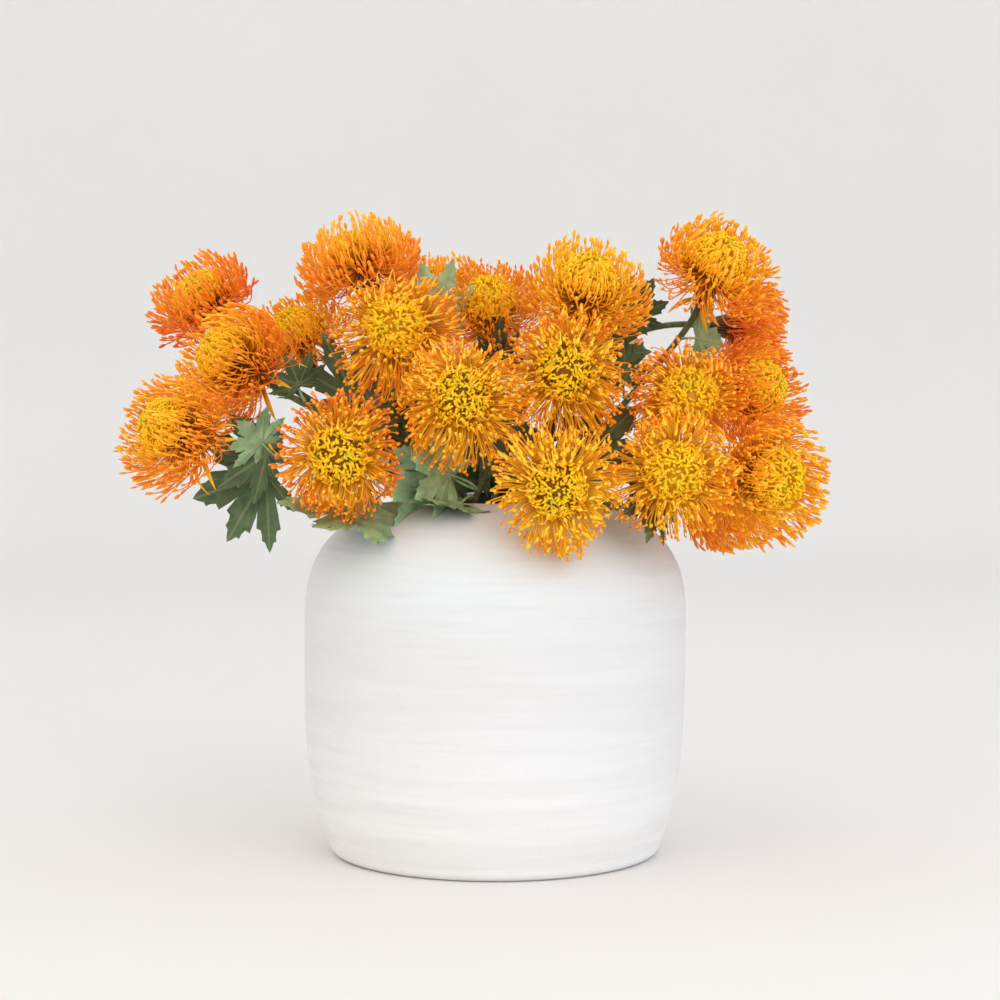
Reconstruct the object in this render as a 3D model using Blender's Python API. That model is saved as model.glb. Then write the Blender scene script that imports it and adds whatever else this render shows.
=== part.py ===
"""Pincushion protea bouquet in a round-shouldered ceramic vase.

One vase stands on the ground plane at the origin. Every flower is a stem and a head: the
stem stands on the vase floor, leans across the hollow, passes the mouth and bends out to
its head. Leaves grow from the stems. Metres, +Z up, the viewer's side is -Y.
"""

import math

import bmesh
import bpy
import numpy as np
from mathutils import Matrix, Vector

GAP = 0.0003

# Vase
VASE_RADIUS = 0.1483
VASE_BELLY_Z = 0.185
VASE_CROWN_Z = 0.283
VASE_SHOULDER_POWER = 2.6
VASE_FOOT_RADIUS = 0.121
VASE_FOOT_ROUND = 0.009
VASE_BELLY_POWER = 3.9
VASE_MOUTH_RADIUS = 0.070
VASE_WALL = 0.007
VASE_FLOOR = 0.009
VASE_SIDES = 40
BELLY_RINGS = 7
SHOULDER_RINGS = 7

# Stems
STEM_RADIUS = 0.0027
STEM_FOOT_RING = 0.088
STEM_MOUTH_RING = 0.047
STEM_MOUTH_Z = 0.272
STEM_TWIST = math.radians(115)
STEM_RING_TURN = math.radians(4)
STEM_BENDS = 11
STEM_NECK = 0.006

# Flower heads, in a head's own frame: the base at zero, the face towards +Z
HEAD_BASE_DEPTH = 0.036
HEAD_SIDES = 16
HEAD_PROFILE = (
    (0.0065, 0.000),
    (0.0150, 0.006),
    (0.0290, 0.016),
    (0.0375, 0.029),
    (0.0400, 0.042),
    (0.0345, 0.056),
    (0.0190, 0.065),
)
HEAD_CROWN = 0.068

# Leaves, in a leaf's own frame: the hub of its veins at zero, the main lobe along +X.
# A lobe is its turn from the main lobe and its length as a share of the main lobe's.
LEAF_THICKNESS = 0.0012
LEAF_HUB = 0.36
LEAF_LOBES = (
    (math.radians(-122), 0.50),
    (math.radians(-80), 0.76),
    (math.radians(-39), 0.92),
    (0.0, 1.00),
    (math.radians(39), 0.92),
    (math.radians(80), 0.76),
    (math.radians(122), 0.50),
)
LOBE_SHOULDER_REACH = 0.62
LOBE_SHOULDER_TURN = math.radians(11)
LEAF_SINUS = 0.34
LEAF_SAG = 0.12
PETIOLE_HALF_WIDTH = 0.0013

# Name, centre, facing, size, place in the mouth ring, bend at the mouth, bend at the head
FLOWERS = (
    ("left_high", (-0.234, 0.068, 0.433), (-0.50, -0.40, 0.75), 0.98, 10, 0.25, 0.25),
    ("left_middle", (-0.206, -0.010, 0.387), (-0.72, -0.45, 0.50), 1.05, 12, 0.25, 0.25),
    ("left_low", (-0.244, -0.075, 0.335), (-0.66, -0.62, 0.38), 0.98, 11, 0.25, 0.25),
    ("left_inner", (-0.159, 0.056, 0.405), (-0.38, -0.50, 0.72), 0.92, 7, 0.25, 0.25),
    ("top_left", (-0.107, 0.040, 0.463), (-0.30, -0.10, 0.93), 1.04, 13, 0.25, 0.25),
    ("front_left_high", (-0.075, -0.035, 0.410), (-0.15, -0.93, 0.22), 1.10, 5, 0.25, 0.25),
    ("front_middle", (-0.024, -0.100, 0.359), (-0.05, -0.97, 0.12), 1.00, 8, 0.25, 0.45),
    ("front_left_low", (-0.115, -0.105, 0.316), (-0.02, -0.99, -0.02), 1.02, 14, 0.45, 0.45),
    ("top_middle", (-0.004, 0.035, 0.429), (-0.02, -0.70, 0.70), 0.96, 4, 0.25, 0.25),
    ("top_right", (0.071, -0.010, 0.444), (0.08, -0.55, 0.82), 1.04, 1, 0.25, 0.25),
    ("front_right_high", (0.053, -0.070, 0.378), (0.00, -0.98, 0.08), 1.03, 2, 0.25, 0.25),
    ("front_rim", (0.045, -0.150, 0.294), (0.02, -0.99, -0.03), 1.02, 15, 0.70, 0.25),
    ("right_high", (0.172, 0.005, 0.459), (0.25, -0.62, 0.72), 1.08, 0, 0.25, 0.25),
    ("right_inner", (0.146, -0.060, 0.359), (0.10, -0.97, 0.10), 0.98, 20, 0.70, 0.45),
    ("right_middle", (0.204, 0.000, 0.363), (0.60, -0.55, 0.30), 0.98, 16, 0.45, 0.45),
    ("front_right_low", (0.132, -0.120, 0.304), (-0.02, -0.98, 0.05), 1.02, 17, 0.45, 0.45),
    ("right_low", (0.209, -0.070, 0.298), (0.55, -0.80, -0.05), 1.06, 18, 0.25, 0.45),
    ("back_top_left", (-0.045, 0.115, 0.442), (-0.05, 0.00, 0.95), 0.92, 6, 0.25, 0.25),
    ("right_under", (0.195, 0.020, 0.275), (0.55, -0.30, -0.55), 0.98, 21, 0.25, 0.25),
    ("right_back", (0.202, 0.075, 0.411), (0.85, -0.25, -0.05), 0.98, 19, 0.25, 0.45),
    ("back_right", (0.079, 0.120, 0.397), (0.20, 0.85, 0.45), 1.00, 3, 0.45, 0.25),
    ("back_left", (-0.075, 0.125, 0.345), (-0.35, 0.90, 0.10), 1.00, 9, 0.25, 0.25),
)

# Name, flower whose stem bears it, place along the stem's bend, tip, way its top looks,
# width as a share of its length
LEAVES = (
    ("left_large", "left_low", 0.58, (-0.232, -0.026, 0.286), (0.10, -0.90, 0.30), 1.00),
    ("left_pale", "left_low", 0.70, (-0.190, -0.062, 0.338), (0.10, 0.90, -0.20), 0.80),
    ("left_high", "left_middle", 0.80, (-0.152, -0.006, 0.394), (0.20, -0.90, 0.20), 0.85),
    ("shoulder_left", "left_low", 0.20, (-0.142, -0.080, 0.260), (0.45, 0.30, -0.85), 0.85),
    ("mouth_left", "front_rim", 0.10, (-0.066, -0.096, 0.322), (0.30, -0.80, 0.50), 0.60),
    ("rim_left", "front_left_low", 0.12, (-0.047, -0.080, 0.281), (0.18, 0.28, -0.94), 0.45),
    ("top_left", "front_left_high", 0.80, (-0.043, 0.026, 0.468), (0.10, -0.95, 0.10), 0.30),
    ("top_right", "right_back", 0.80, (0.126, 0.060, 0.452), (-0.20, -0.90, 0.30), 0.80),
    ("right_high", "right_high", 0.60, (0.168, -0.006, 0.398), (0.20, -0.90, 0.30), 0.85),
    ("right_inner", "right_high", 0.50, (0.101, 0.000, 0.405), (0.20, -0.95, 0.10), 0.80),
    ("left_inner", "left_middle", 0.45, (-0.062, -0.020, 0.351), (0.10, -0.95, 0.20), 0.80),
    ("right_low", "right_low", 0.40, (0.100, -0.030, 0.336), (0.10, -0.95, 0.20), 0.85),
    ("shoulder_right", "front_right_low", 0.75, (0.117, -0.098, 0.254), (0.20, -0.80, -0.40), 0.60),
    ("top_middle", "top_middle", 0.65, (0.004, -0.020, 0.414), (0.10, -0.70, -0.60), 0.45),
    ("back", "left_inner", 0.40, (-0.100, 0.150, 0.284), (0.00, 0.50, 0.80), 0.80),
)


def clear_scene():
    """Removes whatever the scene already holds."""
    for old in list(bpy.context.scene.objects):
        bpy.data.objects.remove(old, do_unlink=True)


def material(name, colour, roughness, metallic=0.0):
    """A plain Principled BSDF finish."""
    finish = bpy.data.materials.new(name)
    finish.use_nodes = True
    shader = finish.node_tree.nodes["Principled BSDF"]
    shader.inputs["Base Color"].default_value = (*colour, 1.0)
    shader.inputs["Roughness"].default_value = roughness
    shader.inputs["Metallic"].default_value = metallic
    return finish


def add_object(name, data, finish):
    """Links a new object with its own finish."""
    piece = bpy.data.objects.new(name, data)
    bpy.context.scene.collection.objects.link(piece)
    data.materials.append(finish)
    return piece


def turned_mesh(name, profile, sides):
    """Spins a profile of (radius, height) points round Z; ends on the axis close as poles."""
    shape = bmesh.new()
    points = [shape.verts.new((radius, 0.0, height)) for radius, height in profile]
    edges = [shape.edges.new(pair) for pair in zip(points, points[1:])]
    bmesh.ops.spin(
        shape,
        geom=points + edges,
        cent=(0.0, 0.0, 0.0),
        axis=(0.0, 0.0, 1.0),
        angle=math.tau,
        steps=sides,
        use_merge=True,
    )
    bmesh.ops.remove_doubles(shape, verts=shape.verts, dist=1e-6)
    bmesh.ops.recalc_face_normals(shape, faces=shape.faces)
    mesh = bpy.data.meshes.new(name)
    shape.to_mesh(mesh)
    shape.free()
    mesh.shade_smooth()
    mesh.set_sharp_from_angle(angle=math.radians(40))
    return mesh


def vase_outline():
    """The outer wall from the foot to the lip, as (radius, height) rows.

    The foot is a quarter round, the belly fills out by a power law, and the shoulder is a
    quarter of a superellipse that the mouth cuts off.
    """
    turn = np.linspace(0.0, math.pi / 2, 4)
    foot_r = VASE_FOOT_RADIUS + VASE_FOOT_ROUND * np.sin(turn)
    foot_z = VASE_FOOT_ROUND * (1.0 - np.cos(turn))
    rise = np.linspace(0.0, 1.0, BELLY_RINGS)[1:]
    fullness = VASE_RADIUS - VASE_FOOT_RADIUS - VASE_FOOT_ROUND
    belly_r = VASE_RADIUS - fullness * (1.0 - rise) ** VASE_BELLY_POWER
    belly_z = VASE_FOOT_ROUND + (VASE_BELLY_Z - VASE_FOOT_ROUND) * rise
    crown = VASE_CROWN_Z - VASE_BELLY_Z
    reach = math.acos((VASE_MOUTH_RADIUS / VASE_RADIUS) ** (VASE_SHOULDER_POWER / 2))
    sweep = np.linspace(0.0, reach, SHOULDER_RINGS)[1:]
    shoulder_r = VASE_RADIUS * np.cos(sweep) ** (2 / VASE_SHOULDER_POWER)
    shoulder_z = VASE_BELLY_Z + crown * np.sin(sweep) ** (2 / VASE_SHOULDER_POWER)
    radii = np.concatenate((foot_r, belly_r, shoulder_r))
    heights = np.concatenate((foot_z, belly_z, shoulder_z))
    return np.column_stack((radii, heights))


def offset_inwards(outline, wall):
    """Moves each outline point by the wall along the outline's inner normal."""
    along = np.gradient(outline, axis=0)
    along /= np.linalg.norm(along, axis=1, keepdims=True)
    inward = np.column_stack((-along[:, 1], along[:, 0]))
    return outline + wall * inward


def make_vase():
    """One shell: outer wall, rounded lip, inner wall and floor."""
    outer = vase_outline()
    inner = offset_inwards(outer, VASE_WALL)
    inner = inner[inner[:, 1] > VASE_FLOOR + VASE_WALL][::-1]
    lip_middle = (outer[-1] + inner[0]) / 2
    across = (outer[-1] - inner[0]) / 2
    upward = np.array((-across[1], across[0]))
    crest = lip_middle + upward
    outer_crest = lip_middle + (across + upward) * math.sqrt(0.5)
    inner_crest = lip_middle + (upward - across) * math.sqrt(0.5)
    floor_edge = (inner[-1][0] - VASE_WALL / 2, VASE_FLOOR)
    profile = [(0.0, 0.0), *outer, outer_crest, crest, inner_crest, *inner]
    profile += [floor_edge, (0.0, VASE_FLOOR)]
    mesh = turned_mesh("vase", profile, VASE_SIDES)
    add_object("vase", mesh, material("whitewashed_clay", (0.82, 0.80, 0.77), 0.85))


def head_pose(centre, facing):
    """Where a head's base lies and the turn that brings +Z to its facing."""
    direction = Vector(facing).normalized()
    return direction, direction.to_track_quat("Z", "Y")


def make_head(name, centre, facing, size, finish):
    """A goblet-shaped solid of the head's own outline."""
    profile = [(0.0, 0.0)]
    profile += [(radius * size, height * size) for radius, height in HEAD_PROFILE]
    profile += [(0.0, HEAD_CROWN * size)]
    mesh = turned_mesh(name, profile, HEAD_SIDES)
    head = add_object(name, mesh, finish)
    direction, turn = head_pose(centre, facing)
    head.location = Vector(centre) - direction * HEAD_BASE_DEPTH * size
    head.rotation_mode = "QUATERNION"
    head.rotation_quaternion = turn


def stem_route(centre, facing, size, place, mouth_bend, head_bend):
    """Points of a stem: straight across the hollow, a cubic bend, a short straight neck."""
    angle = math.tau * place / len(FLOWERS) + STEM_RING_TURN
    foot_angle = angle - STEM_TWIST
    mouth = Vector((math.cos(angle), math.sin(angle), 0.0)) * STEM_MOUTH_RING
    mouth.z = STEM_MOUTH_Z
    foot = Vector((math.cos(foot_angle), math.sin(foot_angle), 0.0)) * STEM_FOOT_RING
    lean = mouth - foot
    slope = math.hypot(lean.x, lean.y) / lean.length
    foot.z = VASE_FLOOR + STEM_RADIUS * slope + GAP
    lean = (mouth - foot).normalized()
    direction = Vector(facing).normalized()
    end = Vector(centre) - direction * (HEAD_BASE_DEPTH * size + GAP)
    neck = end - direction * STEM_NECK
    span = (neck - mouth).length
    first_handle = mouth + lean * span * mouth_bend
    last_handle = neck - direction * span * head_bend
    route = [foot]
    for step in range(STEM_BENDS):
        s = step / (STEM_BENDS - 1)
        point = mouth * (1 - s) ** 3 + first_handle * 3 * s * (1 - s) ** 2
        point += last_handle * 3 * s * s * (1 - s) + neck * s ** 3
        route.append(point)
    return route + [end]


def make_stem(name, route, finish):
    """A round stem along its route, with closed ends."""
    curve = bpy.data.curves.new(name, "CURVE")
    curve.dimensions = "3D"
    curve.bevel_depth = STEM_RADIUS
    curve.bevel_resolution = 1
    curve.use_fill_caps = True
    spline = curve.splines.new("POLY")
    spline.points.add(len(route) - 1)
    for knot, point in zip(spline.points, route):
        knot.co = (*point, 1.0)
    add_object(name, curve, finish)


def leaf_outline(reach, width):
    """The lobed edge round the hub, counter-clockwise, without the petiole's two points."""
    edge = []
    for number, (turn, share) in enumerate(LEAF_LOBES):
        if number:
            middle = (turn + LEAF_LOBES[number - 1][0]) / 2
            edge.append((middle, LEAF_SINUS))
        edge.append((turn - LOBE_SHOULDER_TURN, share * LOBE_SHOULDER_REACH))
        edge.append((turn, share))
        edge.append((turn + LOBE_SHOULDER_TURN, share * LOBE_SHOULDER_REACH))
    return [
        Vector((math.cos(turn) * share, math.sin(turn) * share * width, 0.0)) * reach
        for turn, share in edge
    ]


def leaf_mesh(name, length, width):
    """A fan from the hub to the lobed edge and the petiole, sagging with the square."""
    reach = length * (1.0 - LEAF_HUB)
    petiole = length * LEAF_HUB
    points = leaf_outline(reach, width)
    for point in points:
        point.z = -LEAF_SAG * point.length ** 2 / reach
    points.append(Vector((-petiole, PETIOLE_HALF_WIDTH, 0.0)))
    points.append(Vector((-petiole, -PETIOLE_HALF_WIDTH, 0.0)))
    shape = bmesh.new()
    hub = shape.verts.new((0.0, 0.0, 0.0))
    edge = [shape.verts.new(point) for point in points]
    for first, second in zip(edge, edge[1:] + edge[:1]):
        shape.faces.new((hub, first, second))
    mesh = bpy.data.meshes.new(name)
    shape.to_mesh(mesh)
    shape.free()
    return mesh


def along_route(route, share):
    """The point of a stem's bend at a share of its steps, and the stem's way there."""
    step = share * (STEM_BENDS - 1)
    index = 1 + int(step)
    way = (route[index + 1] - route[index]).normalized()
    return route[index].lerp(route[index + 1], step - int(step)), way


def make_leaf(name, root, way, tip, top, width, finish):
    """A lobed sheet from the stem's skin to its tip, its top turned the given way."""
    tip = Vector(tip)
    along = (tip - root).normalized()
    slant = along.dot(way)
    across = (along - way * slant).normalized()
    base = root + across * (STEM_RADIUS + GAP + PETIOLE_HALF_WIDTH * abs(slant))
    along = (tip - base).normalized()
    length = (tip - base).length
    normal = Vector(top)
    normal = (normal - along * normal.dot(along)).normalized()
    side = normal.cross(along)
    leaf = add_object(name, leaf_mesh(name, length, width), finish)
    leaf.location = base + along * length * LEAF_HUB
    leaf.rotation_mode = "QUATERNION"
    leaf.rotation_quaternion = Matrix((along, side, normal)).transposed().to_quaternion()
    sheet = leaf.modifiers.new("sheet", "SOLIDIFY")
    sheet.thickness = LEAF_THICKNESS
    sheet.offset = 0.0
    sheet.use_even_offset = True


def make_flowers():
    """Every flower's head and stem; returns the stems' routes."""
    styles = material("orange_styles", (0.90, 0.36, 0.03), 0.55)
    bark = material("green_stem", (0.20, 0.22, 0.09), 0.65)
    routes = {}
    for name, centre, facing, size, place, mouth_bend, head_bend in FLOWERS:
        make_head("head_" + name, centre, facing, size, styles)
        routes[name] = stem_route(centre, facing, size, place, mouth_bend, head_bend)
        make_stem("stem_" + name, routes[name], bark)
    return routes


def make_leaves(routes):
    """Every leaf on its stem."""
    blade = material("leaf_green", (0.13, 0.24, 0.10), 0.60)
    for name, flower, share, tip, top, width in LEAVES:
        root, way = along_route(routes[flower], share)
        make_leaf("leaf_" + name, root, way, tip, top, width, blade)


clear_scene()
make_vase()
make_leaves(make_flowers())
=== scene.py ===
import math
from math import pi, radians, tau

import bpy
import numpy as np
from bpy.props import FloatProperty, FloatVectorProperty, IntProperty, PointerProperty
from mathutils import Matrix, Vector


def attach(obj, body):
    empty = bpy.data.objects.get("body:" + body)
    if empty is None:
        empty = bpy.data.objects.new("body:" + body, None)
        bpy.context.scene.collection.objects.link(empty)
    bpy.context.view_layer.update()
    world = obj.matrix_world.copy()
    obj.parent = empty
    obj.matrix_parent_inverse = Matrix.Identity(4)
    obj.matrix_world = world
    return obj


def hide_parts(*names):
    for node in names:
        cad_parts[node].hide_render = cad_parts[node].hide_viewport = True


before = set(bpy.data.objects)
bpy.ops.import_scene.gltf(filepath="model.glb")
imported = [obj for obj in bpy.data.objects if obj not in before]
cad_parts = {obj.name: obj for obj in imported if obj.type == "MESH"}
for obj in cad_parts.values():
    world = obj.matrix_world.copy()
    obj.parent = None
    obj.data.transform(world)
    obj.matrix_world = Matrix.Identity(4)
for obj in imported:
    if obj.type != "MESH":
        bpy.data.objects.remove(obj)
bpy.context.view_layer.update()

bl_info = {
    "name": "Protea flowers in a whitewashed vase",
    "version": (1, 0, 0),
    "blender": (4, 5, 0),
    "location": "View3D > Sidebar > Protea",
    "description": "Grows pincushion protea heads with stems and leaves, and throws their vase",
    "category": "Object",
}

BODY = "root"
BAKE_MAP = "OFBake"
VEIN_MAP = "veins"
GOLDEN_TURN = pi * (3.0 - math.sqrt(5.0))

# The gap left between parts, and the vase, in metres.
GAP = 0.0003
VASE_RADIUS = 0.1483
VASE_BELLY_Z = 0.185
VASE_CROWN_Z = 0.283
VASE_SHOULDER_POWER = 2.6
VASE_FOOT_RADIUS = 0.121
VASE_FOOT_ROUND = 0.009
VASE_BELLY_POWER = 3.9
VASE_MOUTH_RADIUS = 0.07
VASE_WALL = 0.007
VASE_FLOOR = 0.009

# The stems and the rings that they stand in, in metres and turns.
STEM_RADIUS = 0.0027
STEM_FOOT_RING = 0.088
STEM_MOUTH_RING = 0.047
STEM_MOUTH_Z = 0.272
STEM_TWIST = radians(115)
STEM_RING_TURN = radians(4)
STEM_BENDS = 11
STEM_NECK = 0.006
HEAD_BASE_DEPTH = 0.036

# Each flower: centre in millimetres, facing, size, place in the ring of stems, the two bends of
# its stem, tone, redness of its tips, the degrees that its innermost tips leave open round the
# heart, how far its longest styles droop in millimetres, and how strongly its styles hook inwards.
FLOWERS = {
    "left_high": ((-234, 68, 433), (-50, -40, 75), 0.98, 10, 0.25, 0.25, 0.64, 0.1, 16, 3, 0.15),
    "left_middle": ((-206, -10, 387), (-72, -45, 50), 1.05, 12, 0.25, 0.25, 0.5, 0.05, 16, 6, 0.45),
    "left_low": ((-244, -75, 335), (-66, -62, 38), 0.98, 11, 0.25, 0.25, 0.42, 0.08, 16, 5, 0.35),
    "left_inner": ((-159, 56, 405), (-38, -50, 72), 0.92, 7, 0.25, 0.25, 0.38, 0.05, 16, 5, 0.15),
    "top_left": ((-107, 40, 463), (-27, 8, 95), 1.09, 13, 0.25, 0.25, 0.44, 0.05, 16, 4, 0.3),
    "front_left_high": ((-75, -35, 410), (-15, -93, 22), 1.1, 5, 0.25, 0.25, 0.38, 0.0, 18, 12, 0.9),
    "front_middle": ((-24, -100, 359), (-5, -97, 12), 1.0, 8, 0.25, 0.45, 0.22, 0.05, 21, 7, 0.95),
    "front_left_low": ((-115, -105, 316), (-2, -99, -2), 1.02, 14, 0.45, 0.45, 0.3, 0.3, 24, 1, 0.45),
    "top_middle": ((-4, 35, 429), (-2, -70, 70), 0.96, 4, 0.25, 0.25, 0.5, 0.1, 16, 6, 0.1),
    "top_right": ((71, -10, 444), (8, -55, 82), 1.04, 1, 0.25, 0.25, 0.24, 0.0, 16, 5, 0.0),
    "front_right_high": ((53, -70, 378), (0, -98, 8), 1.03, 2, 0.25, 0.25, 0.26, 0.05, 22, 5, 0.8),
    "front_rim": ((45, -150, 294), (2, -99, -3), 0.98, 15, 0.7, 0.25, 0.1, 0.1, 23, 2, 0.95),
    "right_high": ((172, 5, 459), (25, -62, 72), 1.08, 0, 0.25, 0.25, 0.34, 0.05, 16, 7, 0.15),
    "right_inner": ((146, -60, 359), (10, -97, 10), 0.98, 20, 0.7, 0.45, 0.42, 0.05, 22, 7, 0.6),
    "right_middle": ((204, 0, 363), (60, -55, 30), 0.98, 16, 0.45, 0.45, 0.66, 0.05, 16, 6, 0.2),
    "front_right_low": ((132, -120, 304), (-2, -98, 5), 1.02, 17, 0.45, 0.45, 0.2, 0.05, 22, 4, 0.75),
    "right_low": ((209, -70, 298), (55, -80, -5), 1.06, 18, 0.25, 0.45, 0.34, 0.08, 20, 5, 0.1),
    "back_top_left": ((-45, 115, 442), (-5, 0, 95), 0.92, 6, 0.25, 0.25, 0.55, 0.05, 16, 4, 0.2),
    "right_under": ((195, 20, 275), (55, -30, -55), 0.98, 21, 0.25, 0.25, 0.55, 0.05, 16, 4, 0.2),
    "right_back": ((202, 75, 411), (85, -25, -5), 0.98, 19, 0.25, 0.45, 0.8, 0.05, 16, 4, 0.1),
    "back_right": ((79, 120, 397), (20, 85, 45), 1.0, 3, 0.45, 0.25, 0.42, 0.05, 16, 4, 0.5),
    "back_left": ((-75, 125, 345), (-35, 90, 10), 1.0, 9, 0.25, 0.25, 0.48, 0.05, 16, 4, 0.5),
}

# Degrees from a head's axis to its last styles, where more of its cup stays bare.
LAST_STYLE = 110
LAST_STYLES = {
    "right_high": 92, "right_back": 80, "left_high": 98, "left_inner": 98, "top_left": 100,
}

# Heads whose hearts keep the deepest painted shade between the florets and on the dome.
DEEP_SHADE_HEARTS = ("front_left_low", "front_rim", "front_middle", "front_right_high")

# Heads whose bracts are longer, and how many times.
LONG_BRACTS = {"left_low": 1.45, "left_middle": 1.15, "front_middle": 1.2, "right_high": 1.15}

# Each leaf: its flower's stem, share of that stem's bend, tip in millimetres, the way its top
# faces, and its width to its length.
LEAVES = {
    "left_large": ("left_low", 0.58, (-236, -30, 284), (10, -90, 30), 1.3),
    "left_pale": ("left_low", 0.7, (-196, -70, 343), (10, 90, -20), 0.99),
    "left_high": ("left_middle", 0.8, (-161, -10, 391), (20, -90, 20), 1.2),
    "shoulder_left": ("left_low", 0.2, (-140, -125, 254), (22, 78, -52), 0.95),
    "mouth_left": ("front_rim", 0.1, (-69, -96, 319), (-20, 85, -35), 1.2),
    "rim_left": ("front_left_low", 0.12, (-52, -115, 273), (10, 80, -55), 0.75),
    "top_left": ("front_left_high", 0.8, (-31, 20, 467), (10, 95, -10), 0.75),
    "top_right": ("right_back", 0.76, (124, 50, 450), (-20, -90, 30), 1.0),
    "right_high": ("right_high", 0.82, (181, 30, 402), (15, 98, -10), 2.88),
    "right_inner": ("right_high", 0.5, (101, 0, 405), (20, -95, 10), 0.8),
    "left_inner": ("left_middle", 0.45, (-62, -20, 351), (10, -95, 20), 0.8),
    "right_low": ("right_low", 0.4, (100, -30, 336), (10, -95, 20), 0.85),
    "shoulder_right": ("front_right_low", 0.75, (114, -138, 255), (20, -85, -20), 0.6),
    "top_middle": ("top_middle", 0.65, (4, -20, 414), (10, -70, -60), 0.45),
    "back": ("left_inner", 0.4, (-100, 150, 284), (0, 50, 80), 0.8),
}

# Leaves without a solid of their own, in the same terms.
MORE_LEAVES = {
    "collar_left": ("front_left_low", 0.1, (-87, -90, 292), (5, 92, -5), 1.25),
    "collar_front": ("front_rim", 0.1, (-76, -85, 321), (-20, 85, 30), 1.05),
    "rim_front": ("front_rim", 0.05, (-43, -120, 275), (15, 80, -50), 0.7),
    "middle_dark": ("front_left_low", 0.6, (-100, -40, 367), (10, -95, 10), 1.15),
    "middle_back": ("left_middle", 0.25, (-75, -28, 355), (15, -90, 20), 1.25),
    "middle_right": ("front_middle", 0.5, (34, -50, 330), (5, -90, 30), 1.15),
    "gap_right": ("right_low", 0.28, (106, -45, 350), (10, -90, 30), 1.1),
    "rim_right": ("front_rim", 0.5, (101, -88, 270), (10, -80, -50), 0.8),
    "fork_left": ("left_high", 0.35, (-136, 22, 406), (10, -90, 30), 0.8),
    "fork_right": ("top_right", 0.7, (118, 12, 418), (-10, -90, 30), 0.9),
    "back_low": ("back_right", 0.3, (90, 112, 312), (10, 70, 70), 1.0),
    "back_middle": ("back_left", 0.45, (-16, 122, 338), (0, 90, 40), 1.0),
    "back_high": ("back_top_left", 0.6, (12, 108, 404), (0, 70, 70), 0.95),
    "side_left": ("left_high", 0.55, (-178, 104, 362), (-50, 60, 60), 0.95),
    "mouth_dark": ("front_middle", 0.15, (-2, -30, 324), (10, -95, 20), 1.7),
    "mouth_back": ("front_right_high", 0.15, (-33, -10, 297), (0, -95, 10), 1.3),
    "left_upper": ("left_low", 0.62, (-220, -45, 320), (10, -90, 30), 1.1),
    "side_right": ("right_back", 0.45, (142, 104, 340), (60, 50, 60), 0.95),
}

# Half a lobe's edge from its tip to the bay beside it: reach along the vein, offset from it.
LOBE_EDGE = (
    (1.0, 0.0), (0.94, 0.04), (0.87, 0.072), (0.855, 0.12), (0.79, 0.115), (0.72, 0.132),
    (0.705, 0.2), (0.63, 0.188), (0.56, 0.176), (0.51, 0.172), (0.46, 0.16),
)

# A leaf's lobes (turn in degrees, reach), the share of its length up to its hub, and its shape.
LEAF_LOBES = ((-122, 0.5), (-80, 0.76), (-39, 0.92), (0, 1.0), (39, 0.92), (80, 0.76), (122, 0.5))
LEAF_RINGS = (0.14, 0.3, 0.47, 0.64, 0.8, 0.92, 0.985, 1.0)
LEAF_HUB = 0.36
LEAF_SAG = 0.12
LEAF_FOLD = 0.22
LEAF_RUFFLE = 0.028
LEAF_RIPPLE = 0.012
PETIOLE_STEPS = (0.0, 0.01, 0.25, 0.5, 0.75, 0.92, 1.1, 1.12)
PETIOLE_RADII = (0.00135, 0.00115, 0.001, 0.00095, 0.001, 0.0005)

# Shares of the way along a style, a floret and a bract, and their thickness between the ends.
STYLE_STEPS = (0.0, 0.04, 0.2, 0.36, 0.52, 0.67, 0.8, 0.885, 0.93, 0.978, 1.0)
STYLE_TAPER = (1.2, 1.1, 1.0, 1.0, 0.92, 0.88, 0.85)
STYLE_LENGTH = 0.024
STYLE_END = 0.022
STYLE_ROOT_RADIUS = 0.0125
STYLE_ROOT_Z = 0.036
FLORET_STEPS = (0.0, 0.05, 0.4, 0.7, 0.93, 1.0)
FLORET_RADII = (0.00066, 0.0007, 0.00096, 0.0008)
BRACT_STEPS = (0.0, 0.03, 0.2, 0.4, 0.6, 0.8, 0.95, 1.0)
BRACT_WIDTHS = (0.0012, 0.0019, 0.0025, 0.0024, 0.0015, 0.0005)
BRACT_FLATNESS = 0.18

# The cup's profile of radius and height, its ridges, and the dome in it, in metres.
CUP_PROFILE = (
    (0.0, -0.0002), (0.003, 0.0), (0.0042, 0.003), (0.0062, 0.008), (0.0086, 0.015),
    (0.0112, 0.023), (0.0132, 0.031), (0.014, 0.037), (0.0, 0.04),
)
CUP_RIDGES = 14
CUP_RIDGE_DEPTH = 0.00035
DOME_MIDDLE = 0.041
DOME_RISE = 0.013

# Sides of each kind of tube and turned piece.
THIN_SIDES = 4
BRACT_SIDES = 6
PETIOLE_SIDES = 6
STEM_SIDES = 10
DOME_SIDES = 20
CUP_SIDES = 28
STAGE_SIDES = 72

# The camera's tilt down and turn to the side in degrees and its sensor in millimetres, the bend
# of the floor into the wall, the point that the lights face, and the colour of the sky.
CAMERA_TILT = 3.48
CAMERA_TURN = -0.11
SENSOR_WIDTH = 36.0
WALL_BEND = 0.5
AIM = (0, 0, 0.25)
SKY_COLOUR = (0.97, 0.98, 1.0, 1.0)


# Shapes.


def unit(vectors):
    """Vectors divided by their lengths."""
    return vectors / np.linalg.norm(vectors, axis=-1, keepdims=True)


def columns(*values):
    """Arrays or numbers, spread to one shape and set side by side in a last axis."""
    return np.stack(np.broadcast_arrays(*values), -1)


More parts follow.
